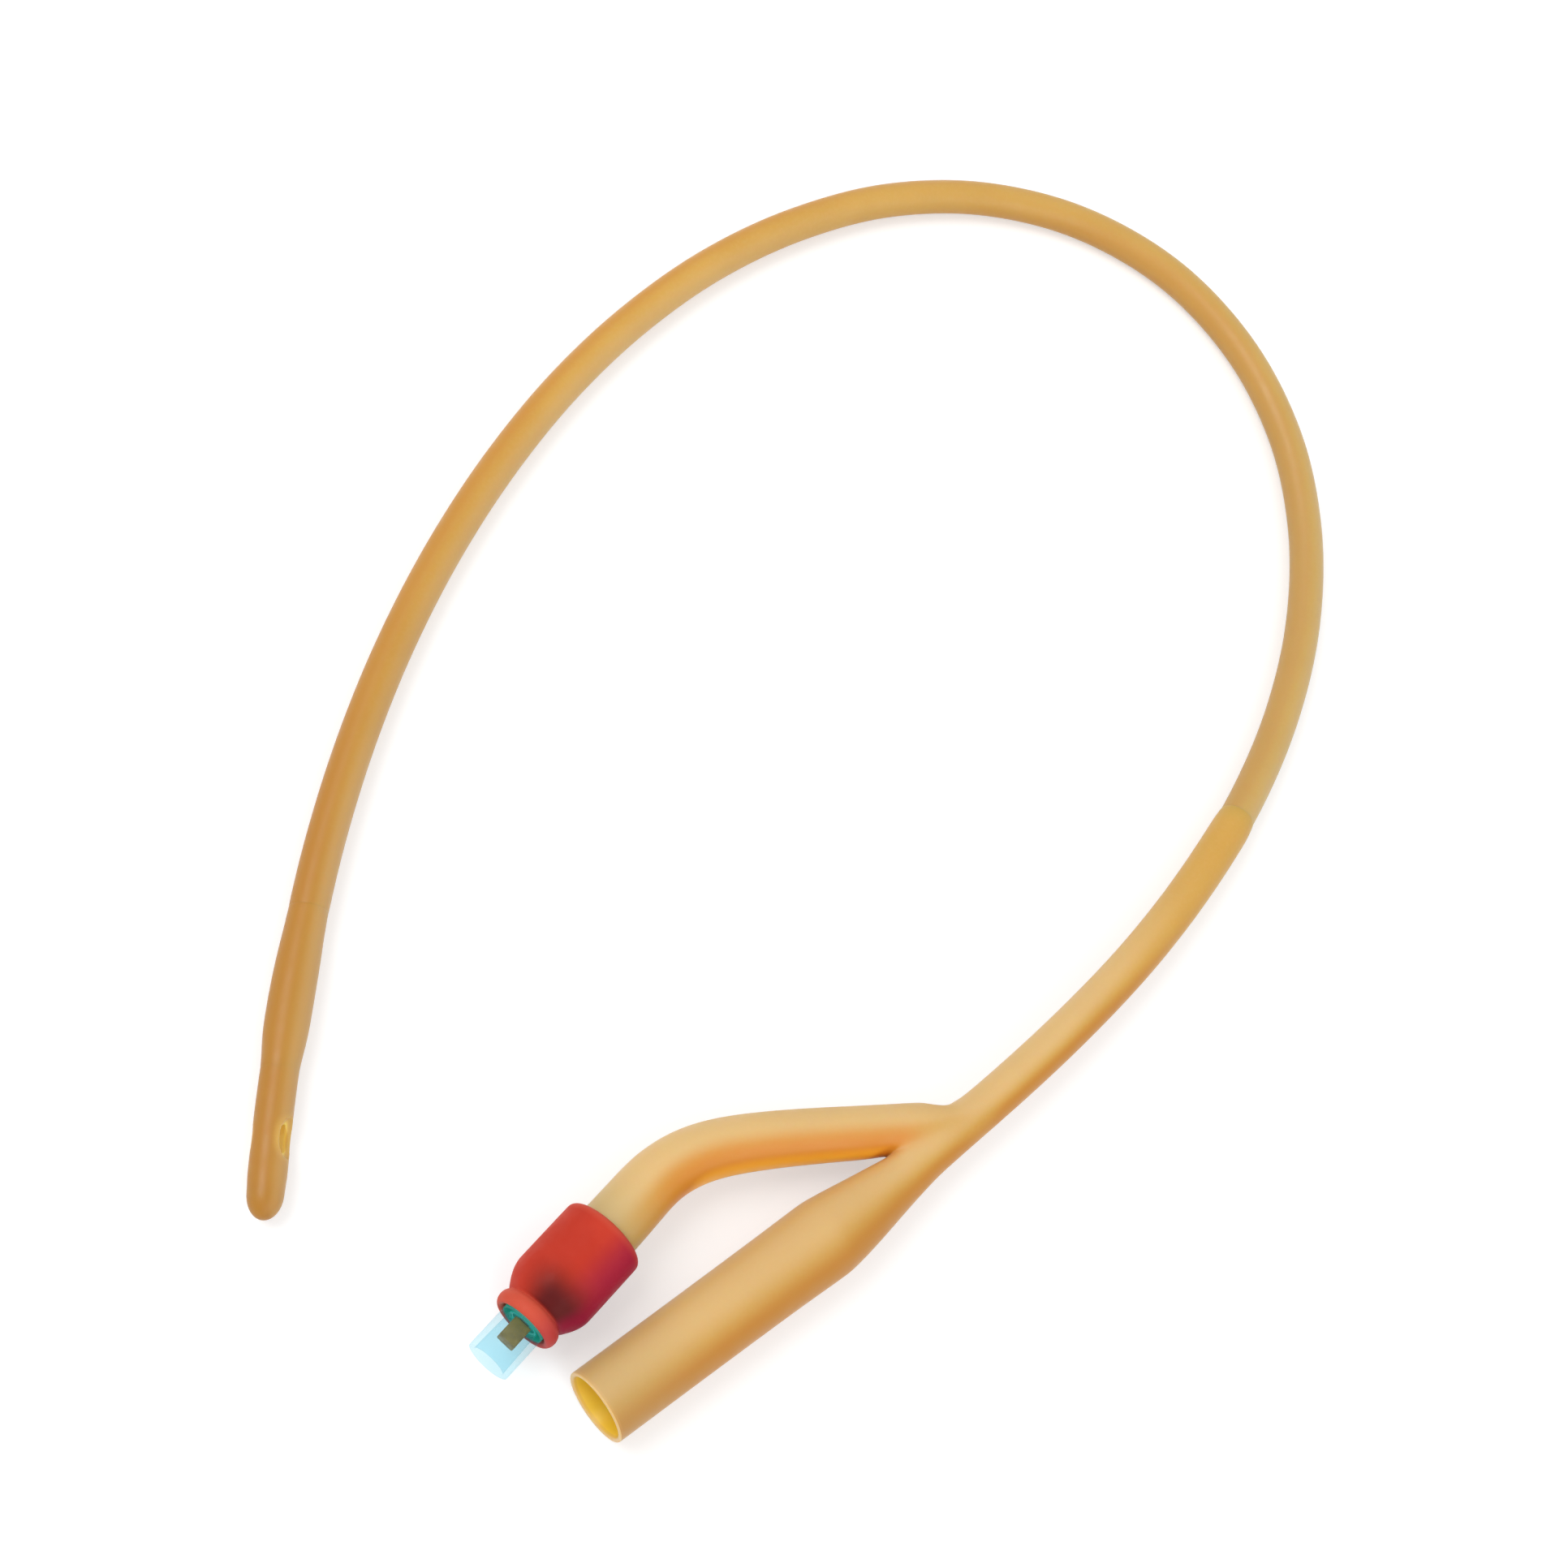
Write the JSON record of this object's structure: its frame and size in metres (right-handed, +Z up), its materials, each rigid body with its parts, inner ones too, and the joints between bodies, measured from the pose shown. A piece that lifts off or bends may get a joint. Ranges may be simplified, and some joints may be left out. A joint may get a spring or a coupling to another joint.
{
  "type": "foley urinary catheter",
  "caption": "Two-way balloon urinary catheter in tan latex, lying in one open loop, with drainage eyes, relaxed balloon, Y connector, red size cuff and clear inflation valve",
  "frame": {"origin": "middle of the bounding box on the table under the catheter", "axes": "+Y from the connector's side towards the top of the loop, the longest extent; -Y is the way the drainage funnel opens; +Z up, off the table, the shortest extent; +X from the valve arm towards the funnel"},
  "size_m": [0.1225, 0.1886, 0.0105],
  "materials": {
    "latex": "smooth tan latex with a soft sheen",
    "balloon_latex": "thin tan latex, slightly duller",
    "red_rubber": "smooth red rubber",
    "clear_blue": "clear pale blue, polished",
    "olive_plastic": "plain olive brown",
    "seal_rubber": "black rubber",
    "spring_steel": "drawn wire",
    "teal_plastic": "plain teal"
  },
  "bodies": {
    "catheter": {"tip": "latex", "shaft": "latex", "balloon": "balloon_latex", "y_connector": "latex", "size_cuff": "red_rubber", "valve_housing": "clear_blue", "valve_spring": "spring_steel", "valve_retainer": "teal_plastic"},
    "plunger": {"valve_plunger": "olive_plastic", "valve_seal": "seal_rubber"}
  },
  "joints": [
    {"name": "plunger_slide", "type": "slide", "parent": "catheter", "child": "plunger", "axis": [-0.2036, 0.979, 0], "range_m": [0, 0.0015], "stiffness_N_per_m": 300, "springref_m": -0.0005, "deforming": ["valve_spring"]}
  ]
}
